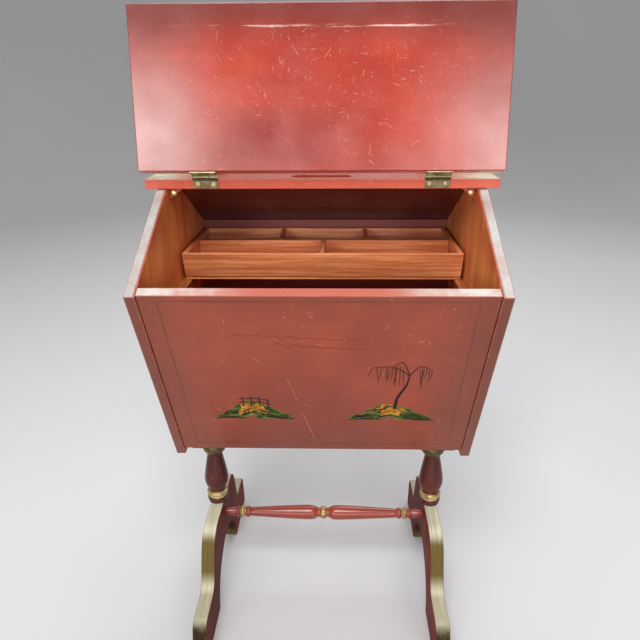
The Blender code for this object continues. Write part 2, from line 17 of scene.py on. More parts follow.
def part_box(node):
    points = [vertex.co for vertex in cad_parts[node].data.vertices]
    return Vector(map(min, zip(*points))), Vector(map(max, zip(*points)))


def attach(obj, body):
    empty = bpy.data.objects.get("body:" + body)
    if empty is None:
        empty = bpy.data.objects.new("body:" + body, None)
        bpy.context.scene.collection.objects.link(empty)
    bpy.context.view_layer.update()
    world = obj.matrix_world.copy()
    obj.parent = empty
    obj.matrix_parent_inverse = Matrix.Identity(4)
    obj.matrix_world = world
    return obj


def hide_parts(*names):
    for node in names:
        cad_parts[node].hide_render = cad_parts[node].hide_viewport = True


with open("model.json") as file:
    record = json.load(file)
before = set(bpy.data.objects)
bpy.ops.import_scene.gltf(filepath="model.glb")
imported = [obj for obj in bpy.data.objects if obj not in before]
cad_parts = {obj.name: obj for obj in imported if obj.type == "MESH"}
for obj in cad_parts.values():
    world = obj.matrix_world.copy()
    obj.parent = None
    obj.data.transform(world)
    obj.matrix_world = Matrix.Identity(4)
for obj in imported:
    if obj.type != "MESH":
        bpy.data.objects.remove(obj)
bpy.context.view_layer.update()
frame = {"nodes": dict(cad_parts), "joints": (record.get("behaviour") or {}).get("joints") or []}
NODES = frame["nodes"]

# Camera, at the viewing angle of the photograph.
CAMERA_PLACE = (0.0174, -0.6587, 0.5979)
CAMERA_PITCH = math.radians(20.62)
CAMERA_YAW = math.radians(-1.74)
CAMERA_ROLL = math.radians(-0.40)
SENSOR_WIDTH, CAMERA_LENS = 36.0, 35.47

# Names of the record's material slots, handed to ride with the new pieces.
RED_SLOT, TURNED_SLOT, BRASS_SLOT = "red_lacquer", "red_and_gilt", "brass"

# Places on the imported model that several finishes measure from.
END_INNER, END_OUTER = (corner[0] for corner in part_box("right_end_panel"))
_, PIN_Y, PIN_Z = next(joint["pos_m"] for joint in frame["joints"] if joint["name"] == "rear_lid_hinge")
# The box's section: the pitch of its top slopes, their distance from the origin, how far the sides lean out
# per metre of height, and where lacquer takes over from oiled wood behind a side, measured at floor level.
SLOPE, SLOPE_DISTANCE, SIDE_LEAN, PANEL_FOOT = math.radians(28.0), 0.4509, 0.4998, (-0.0712, -0.0705)
# Heights of the gilt rings on the posts, and how far out the stretcher's ringed beads are.
POST_COLLAR, POST_RING, STRETCHER_BEAD = 0.1868, 0.1225, 0.1015


# ------------ shader graphs


def tone(red, green, blue):
    """A linear colour from 8-bit display values."""
    linear = []
    for value in (red, green, blue):
        value /= 255
        linear.append(value / 12.92 if value <= 0.04045 else ((value + 0.055) / 1.055) ** 2.4)
    return (*linear, 1.0)


class Graph:
    """A material under construction. Places are the object's own coordinates, in metres."""

    def __init__(self, name):
        self.material = bpy.data.materials.new(name)
        self.material.use_nodes = True
        self.tree = self.material.node_tree
        self.shader = self.tree.nodes["Principled BSDF"]
        coordinates = self.add("TexCoord")
        self.place = coordinates.outputs["Object"]
        self.x, self.y, self.z = self.split(self.place)
        self.normal_x, self.normal_y, self.normal_z = self.split(coordinates.outputs["Normal"])

    def add(self, kind, **settings):
        node = self.tree.nodes.new("ShaderNode" + kind)
        for key, value in settings.items():
            setattr(node, key, value)
        return node

    def put(self, socket, value):
        if isinstance(value, bpy.types.NodeSocket):
            self.tree.links.new(value, socket)
        else:
            socket.default_value = value

    def fill(self, node, **values):
        """Link or set a node's inputs by name, with _ for a space."""
        for key, value in values.items():
            self.put(node.inputs[key.replace("_", " ")], value)
        return node

    def split(self, vector):
        node = self.add("SeparateXYZ")
        self.put(node.inputs[0], vector)
        return node.outputs[0], node.outputs[1], node.outputs[2]

    def join(self, x, y, z):
        node = self.add("CombineXYZ")
        for socket, value in zip(node.inputs, (x, y, z)):
            self.put(socket, value)
        return node.outputs[0]

    def math(self, operation, first, second=0.0):
        node = self.add("Math", operation=operation)
        self.put(node.inputs[0], first)
        self.put(node.inputs[1], second)
        return node.outputs[0]

    def times(self, *values):
        return reduce(partial(self.math, "MULTIPLY"), values)

    def most(self, *values):
        return reduce(partial(self.math, "MAXIMUM"), values)

    def inverse(self, value):
        return self.math("SUBTRACT", 1.0, value)

    def far(self, value):
        """How far a value is from 0, to either side."""
        return self.math("ABSOLUTE", value)

    def stretch(self, factors, shift=(0.0, 0.0, 0.0)):
        """The place scaled and shifted, so that a noise is drawn out along an axis or starts elsewhere."""
        return self.fill(self.add("Mapping"), Vector=self.place, Scale=factors, Location=shift).outputs[0]

    def noise(self, scale, detail, roughness, at=None, distortion=0.0):
        node = self.fill(self.add("TexNoise"), Vector=self.place if at is None else at, Scale=scale)
        return self.fill(node, Detail=detail, Roughness=roughness, Distortion=distortion).outputs["Fac"]

    def span(self, value, low, high, to_low=0.0, to_high=1.0, smooth=False):
        """A value mapped from low..high to to_low..to_high, and held there beyond them."""
        node = self.add("MapRange", interpolation_type="SMOOTHSTEP" if smooth else "LINEAR")
        self.fill(node, Value=value, From_Min=low, From_Max=high, To_Min=to_low, To_Max=to_high)
        return node.outputs["Result"]

    def patches(self, scale, detail, roughness, *mapped):
        """Random patches: a noise, mapped as span says."""
        return self.span(self.noise(scale, detail, roughness), *mapped)

    def mix(self, factor, first, second):
        node = self.add("Mix", data_type="RGBA")
        self.put(node.inputs["Factor"], factor)
        self.put(node.inputs[6], first)
        self.put(node.inputs[7], second)
        return node.outputs[2]

    def cover(self, colour, new, *masks):
        """A new colour laid over another, as strongly as the masks multiply to."""
        return self.mix(self.times(*masks), colour, new)

    def near(self, value, centre, reach, soft):
        """1 within reach of centre, falling to 0 over soft beyond it."""
        distance = self.far(self.math("SUBTRACT", value, centre))
        return self.span(distance, reach, reach + soft, 1.0, 0.0, smooth=True)

    def rims(self, radius, low=0.02, high=0.22):
        """1 on edges that stand out, from how much a rounding of that radius turns the surface."""
        rounded = self.fill(self.add("Bevel", samples=6), Radius=radius)
        geometry = self.add("NewGeometry")
        node = self.add("VectorMath", operation="DOT_PRODUCT")
        self.put(node.inputs[0], rounded.outputs[0])
        self.put(node.inputs[1], geometry.outputs["Normal"])
        return self.span(self.inverse(node.outputs["Value"]), low, high)

    def scratches(self, across, up, per_metre, length, width, share, seed):
        """Short straight scratches on a flat face, one in a share of the cells of a random grid."""
        scaled_x = self.math("MULTIPLY", self.math("ADD", across, seed), per_metre)
        scaled_y = self.math("MULTIPLY", up, per_metre)
        point = self.join(scaled_x, scaled_y, 0.0)
        cells = self.add("TexVoronoi", voronoi_dimensions="2D", feature="F1")
        self.fill(cells, Vector=point, Scale=1.0)
        offset = self.add("VectorMath", operation="SUBTRACT")
        self.put(offset.inputs[0], point)
        self.put(offset.inputs[1], cells.outputs["Position"])
        away_x, away_y, _ = self.split(offset.outputs[0])
        chance, turn, reach = self.split(cells.outputs["Color"])  # random in each cell
        angle = self.math("MULTIPLY", turn, math.pi * 2)
        cosine, sine = self.math("COSINE", angle), self.math("SINE", angle)
        along = self.math("ADD", self.times(away_x, cosine), self.times(away_y, sine))
        aside = self.math("SUBTRACT", self.times(away_y, cosine), self.times(away_x, sine))
        bent = self.math("ADD", aside, self.times(along, along, 0.12))
        thin = self.span(self.far(bent), width * per_metre * 0.5, width * per_metre, 1.0, 0.0)
        half = self.math("MULTIPLY", reach, length * per_metre)
        short = self.math("LESS_THAN", self.far(along), half)
        chosen = self.math("LESS_THAN", chance, share)
        return self.times(thin, short, chosen)

    def line(self, across, up, start, end, width):
        """A thin straight line between two (across, up) points on a flat face."""
        start, end = Vector(start), Vector(end)
        length = (end - start).length
        direction = (end - start) / length
        from_x, from_y = self.math("SUBTRACT", across, start.x), self.math("SUBTRACT", up, start.y)
        along = self.math("ADD", self.times(from_x, direction.x), self.times(from_y, direction.y))
        aside = self.math("SUBTRACT", self.times(from_y, direction.x), self.times(from_x, direction.y))
        inside = self.near(along, length / 2, length / 2, 0.002)
        return self.times(self.span(self.far(aside), width * 0.5, width, 1.0, 0.0), inside)

    def relief(self, height, distance, strength, rounding=0.0):
        """Fine relief under the finish, on edges that look rounded by rounding."""
        bump = self.fill(self.add("Bump"), Strength=strength, Distance=distance, Height=height)
        if rounding:
            rounded = self.fill(self.add("Bevel", samples=6), Radius=rounding)
            self.fill(bump, Normal=rounded.outputs[0])
        self.fill(self.shader, Normal=bump.outputs[0])

    def done(self, colour, roughness, metallic=0.0, coat=0.0, coat_roughness=0.1, specular=0.5):
        self.fill(self.shader, Base_Color=colour, Roughness=roughness, Metallic=metallic)
        self.fill(self.shader, Coat_Weight=coat, Coat_Roughness=coat_roughness, Specular_IOR_Level=specular)
        return self.material


# ------------ finishes

# Each lacquer has a base, a deep and a bright tone, and each wood a light, a middle and a dark one.
RED = (tone(156, 67, 42), tone(128, 53, 34), tone(178, 79, 50))
RED_BASE, RED_DEEP, _ = RED
BARE_WOOD, DARK_CHIP = tone(196, 118, 66), tone(52, 28, 20)


def red_ground(graph, tones, grain=(7.0, 150.0, 150.0)):
    """Brick-red lacquer over wood: slow changes of shade, and the grain showing faintly."""
    base, deep, bright = tones
    clouds = graph.patches(5.0, 3.0, 0.55, 0.36, 0.66)
    colour = graph.mix(clouds, deep, base)
    elsewhere = graph.stretch((1.0, 1.0, 1.0), shift=(3.1, 1.7, 0.4))
    light = graph.span(graph.noise(11.0, 4.0, 0.6, at=elsewhere), 0.5, 0.75)
    colour = graph.cover(colour, bright, light, 0.45)
    fibres = graph.noise(1.0, 4.0, 0.6, at=graph.stretch(grain))
    return graph.mix(graph.span(fibres, 0.35, 0.62, 0.30, 0.0), colour, deep), fibres


def worn(graph, colour, wear_colour, rims):
    """Lacquer rubbed through along the rims, in patches."""
    rubbed = graph.times(rims, graph.patches(55.0, 5.0, 0.65, 0.42, 0.60))
    return graph.mix(rubbed, colour, wear_colour), rubbed


def specks(graph, scale, threshold):
    """Small sparse spots."""
    return graph.patches(scale, 2.0, 0.5, threshold, threshold + 0.03)


def lacquer(name, tones, extra=None, scratch_plane="XZ", scratch_share=0.10, gloss=0.34, coat=0.2):
    """Scratched, rubbed lacquer on a board along X. extra(graph, colour) adds what only one board has."""
    graph = Graph(name)
    colour, fibres = red_ground(graph, tones)
    up = graph.z if scratch_plane == "XZ" else graph.y
    scored = graph.most(
        graph.scratches(graph.x, up, 130.0, 0.0034, 0.00022, scratch_share, 0.13),
        graph.scratches(graph.x, up, 70.0, 0.0060, 0.00018, scratch_share * 0.7, 0.71),
        graph.scratches(graph.x, up, 30.0, 0.0120, 0.00013, scratch_share * 0.35, 0.37),
    )
    faint = graph.patches(60.0, 2.0, 0.5, 0.35, 0.65, 0.15, 0.75)
    colour = graph.cover(colour, tone(232, 176, 150), scored, faint)
    colour = graph.cover(colour, tone(226, 170, 146), specks(graph, 420.0, 0.72), 0.45)
    if extra:
        colour = extra(graph, colour)
    rims = graph.times(graph.rims(0.0011), 0.75)
    colour, rubbed = worn(graph, colour, tone(214, 150, 122), rims)
    roughness = graph.patches(26.0, 4.0, 0.6, 0.3, 0.7, gloss - 0.06, gloss + 0.10)
    roughness = graph.most(roughness, graph.times(rubbed, 0.6))
    graph.relief(fibres, 0.00012, 0.35, rounding=0.0008)
    return graph.done(colour, roughness, coat=coat, coat_roughness=0.22, specular=0.35)


def grained(graph, tones, stretch, fine):
    """Wood with broad bands and fine pores, both drawn out along one axis, and the height of its grain."""
    light, middle, dark = tones
    broad = graph.noise(1.0, 5.0, 0.62, at=graph.stretch(stretch), distortion=0.6)
    colour = graph.mix(graph.span(broad, 0.30, 0.52), dark, middle)
    colour = graph.mix(graph.span(broad, 0.50, 0.70), colour, light)
    pores = graph.noise(1.0, 2.0, 0.5, at=graph.stretch(fine))
    pored = graph.span(pores, 0.30, 0.46, 0.55, 0.0)
    return graph.mix(pored, colour, dark), graph.math("SUBTRACT", broad, graph.times(pored, 0.4))


def natural_wood(name, tones, stretch, fine):
    """Varnished wood, stained here and there and rubbed at the edges."""
    graph = Graph(name)
    colour, height = grained(graph, tones, stretch, fine)
    stains = graph.patches(14.0, 3.0, 0.5, 0.55, 0.75, 0.0, 0.35)
    colour = graph.mix(stains, colour, tones[-1])
    rims = graph.times(graph.rims(0.0009), 0.5)
    colour, _ = worn(graph, colour, tone(206, 150, 100), rims)
    graph.relief(height, 0.00015, 0.5, rounding=0.0006)
    return graph.done(colour, 0.42, coat=0.12, coat_roughness=0.3)


def panel_extras(graph, colour):
    """Darker towards the edges, with a painted border line, one long scratch and painted reflections on the
    top edge.
    """
    low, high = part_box("front_panel")
    tall = high[2] - low[2]
    middle_z = (high[2] + low[2]) / 2
    far_x = graph.far(graph.x)
    from_x = graph.span(far_x, 0.085, END_INNER, smooth=True)
    offset_z = graph.far(graph.math("SUBTRACT", graph.z, middle_z + 0.01))
    from_z = graph.span(offset_z, tall * 0.28, tall * 0.52, smooth=True)
    shade = graph.times(graph.most(from_x, graph.times(from_z, 0.8)), 0.55)
    colour = graph.mix(shade, colour, tone(92, 48, 34))
    inset, line = 0.0170, 0.0006
    border_x = graph.near(far_x, high[0] - inset, line, 0.0008)
    border_low = graph.near(graph.z, low[2] + inset * 0.65, line, 0.0008)
    border_high = graph.near(graph.z, high[2] - inset * 0.6, line, 0.0008)
    inside_x = graph.math("LESS_THAN", far_x, high[0] - inset)
    inside_z = graph.near(graph.z, middle_z + inset * 0.025, tall / 2 - inset * 0.625, 0.0004)
    border_z = graph.most(border_low, border_high)
    border = graph.most(graph.times(border_x, inside_z), graph.times(border_z, inside_x))
    faded = graph.patches(30.0, 3.0, 0.6, 0.34, 0.6, 0.20, 0.62)
    colour = graph.cover(colour, tone(78, 44, 26), border, faded)
    scratch = graph.line(graph.x, graph.z, (-0.032, 0.327), (-0.004, 0.215), 0.00024)
    broken = graph.patches(90.0, 3.0, 0.6, 0.40, 0.52)
    colour = graph.cover(colour, tone(226, 156, 126), scratch, broken, 0.65)
    # Painted reflections on the top face: of the red lid across the middle, and of pale light towards the
    # ends.
    top_face = graph.span(graph.normal_z, 0.3, 0.6)
    ends = graph.span(far_x, 0.050, 0.125, 0.0, 0.90, smooth=True)
    patchy = graph.patches(42.0, 5.0, 0.65, 0.35, 0.6, 0.35, 1.0)
    colour = graph.cover(colour, tone(170, 78, 56), top_face, 0.8)
    return graph.cover(colour, tone(188, 186, 178), top_face, ends, patchy)


def rear_panel_extras(graph, colour):
    """The inner face, where the lacquer is thin over stained wood."""
    inside = graph.span(graph.normal_y, -0.5, -0.3, 1.0, 0.0)
    return graph.cover(colour, tone(148, 88, 84), inside, 0.85)


def rear_lid_extras(graph, colour):
    """Painted shade on the underside, darker than the front lid's."""
    underside = graph.span(graph.normal_z, -0.6, -0.4, 1.0, 0.0)
    return graph.cover(colour, tone(86, 30, 30), underside, 0.85)


def rail_extras(graph, colour):
    """A painted reflection of pale light on the top face at both ends, beyond the hinges."""
    top_face = graph.span(graph.normal_z, 0.6, 0.8)
    ends = graph.span(graph.far(graph.x), 0.120, 0.165, smooth=True)
    patchy = graph.patches(36.0, 4.0, 0.6, 0.34, 0.58, 0.45, 1.0)
    return graph.cover(colour, tone(240, 230, 196), top_face, ends, patchy)


def lid_extras(graph, colour):
    """Underneath: painted shade at the free edge, darker sides, a pale scuff, small scratches and a painted
    reflection low down.
    """
    low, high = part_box("front_lid")
    outside = graph.span(graph.normal_y, -0.3, 0.3)
    outer_colour, _ = red_ground(graph, RED)
    plain = colour
    up = graph.span(graph.z, low[2], high[2])
    # Painted shade towards the free edge and its top corners.
    free_edge = graph.span(up, 0.70, 1.0)
    corner = graph.times(graph.span(graph.far(graph.x), 0.06, 0.17, smooth=True), free_edge)
    colour = graph.cover(colour, tone(96, 28, 24), corner, 0.75)
    colour = graph.cover(colour, tone(96, 32, 24), graph.span(up, 0.70, 1.0, smooth=True), 0.85)
    # Darker towards both sides.
    darker_sides = graph.times(graph.span(graph.x, -0.095, -0.160, smooth=True), 0.55)
    darker_sides = graph.most(darker_sides, graph.times(graph.span(graph.x, 0.110, 0.170, smooth=True), 0.40))
    colour = graph.mix(darker_sides, colour, tone(112, 40, 32))
    stain = graph.times(graph.near(graph.x, -0.040, 0.025, 0.050), graph.near(up, 0.20, 0.06, 0.18))
    colour = graph.cover(colour, tone(120, 36, 34), stain, 0.55)
    scuffed = graph.noise(1.0, 5.0, 0.7, at=graph.stretch((22.0, 60.0, 300.0), shift=(1.9, 0.0, 0.0)))
    scuff = graph.times(
        graph.near(up, 0.868, 0.003, 0.009),
        graph.span(scuffed, 0.46, 0.60),
        graph.near(graph.x, -0.015, 0.085, 0.060),
    )
    colour = graph.cover(colour, tone(236, 206, 196), scuff, 0.85)
    fine = graph.scratches(graph.x, graph.z, 240.0, 0.0024, 0.00016, 0.45, 0.55)
    clustered = graph.patches(30.0, 2.0, 0.5, 0.42, 0.62, 0.25, 1.0)
    midway = graph.times(graph.near(graph.x, 0.01, 0.075, 0.060), graph.span(up, 0.95, 0.80, smooth=True))
    colour = graph.cover(colour, tone(236, 150, 124), fine, clustered, midway, 0.42)
    # A painted reflection of pale light, in patches, stronger low down on the lid.
    glare_patches = graph.noise(16.0, 2.0, 0.5, at=graph.stretch((1.0, 1.0, 0.7), shift=(0.4, 0.0, 0.9)))
    painted_glare = graph.times(graph.span(glare_patches, 0.48, 0.80), graph.span(up, 0.72, 0.2), 0.22)
    colour = graph.mix(painted_glare, colour, tone(214, 140, 128))
    return graph.mix(outside, colour, graph.mix(0.75, plain, outer_colour))


def end_panel_finish():
    """Lacquer outside and on the edges, oiled wood inside, painted shade on the front edges and a painted
    reflection on the slopes.
    """
    graph = Graph("end_panel_finish")
    colour, fibres = red_ground(graph, RED, grain=(150.0, 150.0, 7.0))
    scored = graph.scratches(graph.y, graph.z, 30.0, 0.016, 0.00026, 0.3, 0.2)
    colour = graph.cover(colour, tone(226, 160, 136), scored, 0.35)
    wood_tones = (tone(252, 186, 112), tone(246, 156, 86), tone(214, 118, 66))
    inner_wood, height = grained(graph, wood_tones, (70.0, 70.0, 5.0), (700.0, 700.0, 30.0))
    stain = graph.patches(10.0, 4.0, 0.6, 0.42, 0.70, 0.0, 0.65)
    inner_wood = graph.mix(stain, inner_wood, tone(224, 112, 68))
    far_x, far_y = graph.far(graph.x), graph.far(graph.y)
    # Red paint that drifted inwards over the top 40 mm below the slopes.
    out, up = graph.times(far_y, math.sin(SLOPE)), graph.times(graph.z, math.cos(SLOPE))
    near_slope = (SLOPE_DISTANCE - 0.040, SLOPE_DISTANCE)
    overspray = graph.span(graph.math("ADD", out, up), *near_slope, 0.0, 0.75, smooth=True)
    overspray = graph.times(overspray, graph.patches(24.0, 4.0, 0.6, 0.40, 0.62, 0.25, 1.0))
    inner_wood = graph.mix(overspray, inner_wood, tone(178, 62, 44))
    inner_face = graph.span(far_x, END_INNER, END_INNER + 0.0003, 1.0, 0.0)
    past_side = graph.math("SUBTRACT", far_y, graph.times(graph.z, SIDE_LEAN))
    inside = graph.times(inner_face, graph.span(past_side, *PANEL_FOOT, 1.0, 0.0))
    colour = graph.mix(inside, colour, inner_wood)
    edge_face = graph.span(graph.far(graph.normal_x), 0.45, 0.75, 1.0, 0.0)
    # Painted shade on the upright front edges.
    upright_edge = graph.times(edge_face, graph.span(graph.normal_z, 0.0, 0.2, 1.0, 0.0))
    colour = graph.cover(colour, tone(88, 44, 32), upright_edge, 0.70)
    # A painted reflection of pale light along the slopes, in patches.
    slope = graph.times(edge_face, graph.span(graph.normal_z, 0.35, 0.7))
    patchy = graph.patches(38.0, 5.0, 0.65, 0.32, 0.58, 0.55, 1.0)
    colour = graph.cover(colour, tone(170, 174, 170), slope, patchy, 0.90)
    speckled = graph.times(slope, graph.patches(620.0, 3.0, 0.6, 0.50, 0.62))
    colour = graph.cover(colour, tone(142, 126, 120), speckled, 0.55)
    red_line = graph.times(slope, graph.near(far_x, END_INNER + 0.0008, 0.0006, 0.0008))
    colour = graph.cover(colour, tone(150, 52, 40), red_line, 0.8)
    outer_line = graph.times(edge_face, graph.near(far_x, END_OUTER + 0.0002, 0.0006, 0.0006))
    colour = graph.cover(colour, tone(226, 214, 202), outer_line, patchy, 0.7)
    rims = graph.times(graph.rims(0.0011), 0.8)
    colour, rubbed = worn(graph, colour, tone(222, 176, 150), rims)
    graph.relief(graph.math("ADD", fibres, graph.times(height, inside)), 0.00012, 0.4, rounding=0.0007)
    roughness = graph.math("ADD", graph.times(inside, 0.14), 0.28)
    roughness = graph.most(roughness, graph.times(rubbed, 0.55))
    return graph.done(colour, roughness, coat=0.2, coat_roughness=0.2, specular=0.35)


def brass_finish(name, light, dark, dull=0.5):
    """Aged brass: bright where rubbed, brown-green and dull in patches, with painted shade beside the
    knuckles.
    """
    graph = Graph(name)
    patches = graph.patches(210.0, 4.0, 0.6, 0.36, 0.64)
    colour = graph.mix(patches, dark, light)
    tarnish = graph.patches(620.0, 3.0, 0.6, 0.56, 0.72, 0.0, dull)
    colour = graph.mix(tarnish, colour, tone(74, 62, 30))
    pin_y = graph.math("SUBTRACT", graph.far(graph.y), PIN_Y)
    pin_z = graph.math("SUBTRACT", graph.z, PIN_Z)
    from_pin = graph.math("SQRT", graph.math("ADD", graph.times(pin_y, pin_y), graph.times(pin_z, pin_z)))
    # Painted shade: a dark ring beside each hinge knuckle, where its shadow falls.
    knuckle_shade = graph.near(from_pin, 0.0034, 0.0006, 0.0012)
    colour = graph.cover(colour, tone(44, 38, 26), knuckle_shade, 0.75)
    rims = graph.rims(0.0005)
    colour = graph.cover(colour, tone(238, 206, 130), rims, 0.8)
    roughness = graph.patches(330.0, 3.0, 0.6, 0.3, 0.7, 0.28, 0.50)
    brushed = graph.noise(1.0, 2.0, 0.5, at=graph.stretch((260.0, 2600.0, 2600.0)))
    graph.relief(brushed, 0.00003, 0.4, rounding=0.0003)
    return graph.done(colour, roughness, metallic=0.85)


GOLD_LIGHT, GOLD_MIDDLE, GOLD_DARK = tone(124, 108, 66), tone(94, 80, 42), tone(66, 54, 28)


def gilding(graph, streaks):
    """Bronze paint laid over the red in streaks."""
    fine = graph.noise(1.0, 3.0, 0.6, at=streaks)
    colour = graph.mix(graph.span(fine, 0.32, 0.50), GOLD_DARK, GOLD_MIDDLE)
    return graph.mix(graph.span(fine, 0.50, 0.68), colour, GOLD_LIGHT), fine


def foot_finish():
    """Red faces and gilt edge, painted shade low down and beneath, painted highlights; darkened and chipped
    at the toes.
    """
    graph = Graph("foot_finish")
    red, fibres = red_ground(
        graph, (tone(134, 38, 22), tone(88, 26, 18), tone(156, 48, 28)), grain=(150.0, 12.0, 150.0)
    )
    # Painted shade: the red darkens towards the floor.
    fall = graph.span(graph.z, 0.015, 0.095, 0.40, 0.0)
    red = graph.mix(fall, red, tone(66, 26, 22))
    gold, streak = gilding(graph, graph.stretch((950.0, 16.0, 16.0)))
    # Painted highlights make the edge pale on top of the toes and at the crest; it is olive on the slope
    # between them.
    on_toes = graph.near(graph.z, 0.054, 0.004, 0.012)
    at_crest = graph.span(graph.z, 0.098, 0.1085, smooth=True)
    on_slope = graph.near(graph.z, 0.080, 0.018, 0.012)
    pale = graph.most(graph.times(on_toes, 0.65), at_crest)
    gold = graph.cover(gold, tone(222, 218, 190), pale, graph.span(streak, 0.30, 0.60, 0.62, 1.0))
    gold = graph.cover(gold, tone(98, 82, 40), on_slope, 0.55)
    toe = graph.span(graph.far(graph.y), 0.130, 0.1405, smooth=True)
    rough_wear = graph.patches(90.0, 5.0, 0.7, 0.36, 0.56)
    gold = graph.cover(gold, tone(40, 28, 18), toe, graph.span(rough_wear, 0.0, 1.0, 0.55, 0.95))
    under = graph.span(graph.normal_z, -0.35, -0.1, 1.0, 0.0)
    edge_face = graph.span(graph.far(graph.normal_x), 0.60, 0.80, 1.0, 0.0)
    gilt = graph.times(edge_face, graph.inverse(under))
    colour = graph.mix(gilt, red, gold)
    # Painted shade on the faces of the edge that look down, under the arch.
    colour = graph.cover(colour, tone(52, 26, 22), edge_face, under)
    rims = graph.rims(0.0016, 0.01, 0.15)
    chips = graph.patches(150.0, 4.0, 0.6, 0.56, 0.62)
    colour = graph.cover(colour, DARK_CHIP, rims, chips)
    bare = graph.times(rims, graph.patches(70.0, 4.0, 0.6, 0.40, 0.52), graph.most(toe, 0.30))
    colour = graph.mix(bare, colour, BARE_WOOD)
    graph.relief(graph.math("ADD", streak, fibres), 0.00010, 0.5)
    roughness = graph.span(streak, 0.3, 0.7, 0.54, 0.66)
    return graph.done(colour, roughness, metallic=graph.times(gilt, 0.25), specular=0.12)


def post_finish():
    """Dark red turning with gilt on the collar and the ring below the vase, and painted shade at the top
    under the box.
    """
    graph = Graph("post_finish")
    red, fibres = red_ground(
        graph, (tone(94, 32, 22), tone(58, 22, 16), tone(124, 46, 32)), grain=(150.0, 150.0, 10.0)
    )
    # Painted shade: the red darkens towards the top, under the box.
    upper = graph.span(graph.z, 0.150, 0.180, 0.0, 0.45)
    red = graph.mix(upper, red, tone(74, 28, 24))
    gold, streak = gilding(graph, graph.stretch((60.0, 60.0, 1500.0)))
    collar = graph.near(graph.z, POST_COLLAR + 0.0007, 0.0055, 0.0010)
    ring = graph.near(graph.z, POST_RING, 0.0031, 0.0006)
    pale_line = graph.near(graph.z, POST_RING - 0.0039, 0.0005, 0.0005)
    gold = graph.cover(gold, GOLD_DARK, collar, 0.35)
    gold = graph.cover(gold, tone(206, 182, 120), ring, 0.6)
    left_on = graph.patches(130.0, 4.0, 0.6, 0.34, 0.46)
    gilt = graph.times(graph.most(collar, ring), left_on)
    colour = graph.mix(gilt, red, gold)
    colour = graph.cover(colour, tone(216, 190, 150), pale_line, 0.8)
    specked = specks(graph, 420.0, 0.70)
    colour = graph.cover(colour, tone(206, 120, 92), specked, 0.5)
    graph.relief(graph.math("ADD", fibres, streak), 0.00008, 0.4)
    metallic = graph.times(gilt, 0.4)
    return graph.done(colour, 0.34, metallic=metallic, coat=0.15, coat_roughness=0.16, specular=0.25)


def stretcher_finish():
    """Red turning with a gilt ring at the middle and at each end's beads."""
    graph = Graph("stretcher_finish")
    red, fibres = red_ground(
        graph, (tone(156, 64, 44), tone(118, 46, 34), tone(182, 82, 56)), grain=(10.0, 150.0, 150.0)
    )
    gold, streak = gilding(graph, graph.stretch((1500.0, 60.0, 60.0)))
    far = graph.far(graph.x)
    rings = graph.most(graph.near(far, 0.0, 0.0030, 0.0006), graph.near(far, STRETCHER_BEAD, 0.0030, 0.0006))
    left_on = graph.patches(150.0, 4.0, 0.6, 0.34, 0.46)
    gilt = graph.times(rings, left_on)
    colour = graph.mix(gilt, red, graph.mix(0.5, gold, tone(200, 172, 112)))
    specked = specks(graph, 420.0, 0.70)
    colour = graph.cover(colour, tone(214, 132, 104), specked, 0.5)
    graph.relief(graph.math("ADD", fibres, streak), 0.00008, 0.4)
    metallic = graph.times(gilt, 0.4)
    return graph.done(colour, 0.28, metallic=metallic, coat=0.32, coat_roughness=0.10, specular=0.35)


def paint_finish(name, base, second, roughness=0.45):
    """The scenery's paint, in two shades, with small spots where the lacquer shows through."""
    graph = Graph(name)
    colour = graph.mix(graph.patches(160.0, 4.0, 0.65, 0.38, 0.62), second, base)
    worn_spots = specks(graph, 520.0, 0.66)
    colour = graph.cover(colour, RED_DEEP, worn_spots, 0.7)
    graph.relief(graph.noise(700.0, 3.0, 0.6), 0.00004, 0.5)
    return graph.done(colour, roughness, specular=0.2)


def dress(names, material):
    """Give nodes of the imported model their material."""
    for name in names:
        obj = NODES[name]
        obj.data.materials.clear()
        obj.data.materials.append(material)


# ------------ shapes


def ride(piece, body, slot_name, *replaced):
    """Attach a new piece to its body and hide the nodes it stands for. slot_name is not used."""
    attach(piece, body)
    if replaced:
        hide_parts(*replaced)


def in_order(bm):
    """Sort by place what spin and extrude leave in any order, so that each run gives the same mesh."""
    def corners(item):
        return sorted(vert.index for vert in item.verts)

    for items, key in ((bm.verts, lambda vert: vert.co[:]), (bm.edges, corners), (bm.faces, corners)):
        for index, item in enumerate(sorted(items, key=key)):
            item.index = index
        items.sort()


def new_object(name, bm, material, sharp_from=None):
    """An object from a finished bmesh, shaded smooth up to edges that turn by sharp_from degrees."""
    mesh = bpy.data.meshes.new(name)
    bm.to_mesh(mesh)
    bm.free()
    if sharp_from:
        mesh.shade_smooth()
        mesh.set_sharp_from_angle(angle=math.radians(sharp_from))
    mesh.materials.append(material)
    obj = bpy.data.objects.new(name, mesh)
    bpy.context.scene.collection.objects.link(obj)
    return obj


def bead(centre, radius, half_height, floor_radius, steps=14):
    """A turned bead from its top to its bottom: half an ellipse beyond floor_radius."""
    angles = [math.pi * step / steps for step in range(steps + 1)]
    depth = radius - floor_radius
    return [(floor_radius + depth * math.sin(a), centre + half_height * math.cos(a)) for a in angles]


def smooth_run(points, steps=10):
    """A smooth curve through points, as a run of short steps."""
    ends = [points[0], *points, points[-1]]
    found = []
    for before, start, end, after in zip(ends, ends[1:], ends[2:], ends[3:]):
        before, start, end, after = Vector(before), Vector(start), Vector(end), Vector(after)
        leave, arrive = (end - before) / 2, (after - start) / 2
        for step in range(steps):
            t = step / steps
            on_ends = start * (2 * t**3 - 3 * t**2 + 1) + end * (3 * t**2 - 2 * t**3)
            found.append(tuple(on_ends + leave * (t**3 - 2 * t**2 + t) + arrive * (t**3 - t**2)))
    found.append(points[-1])
    return found


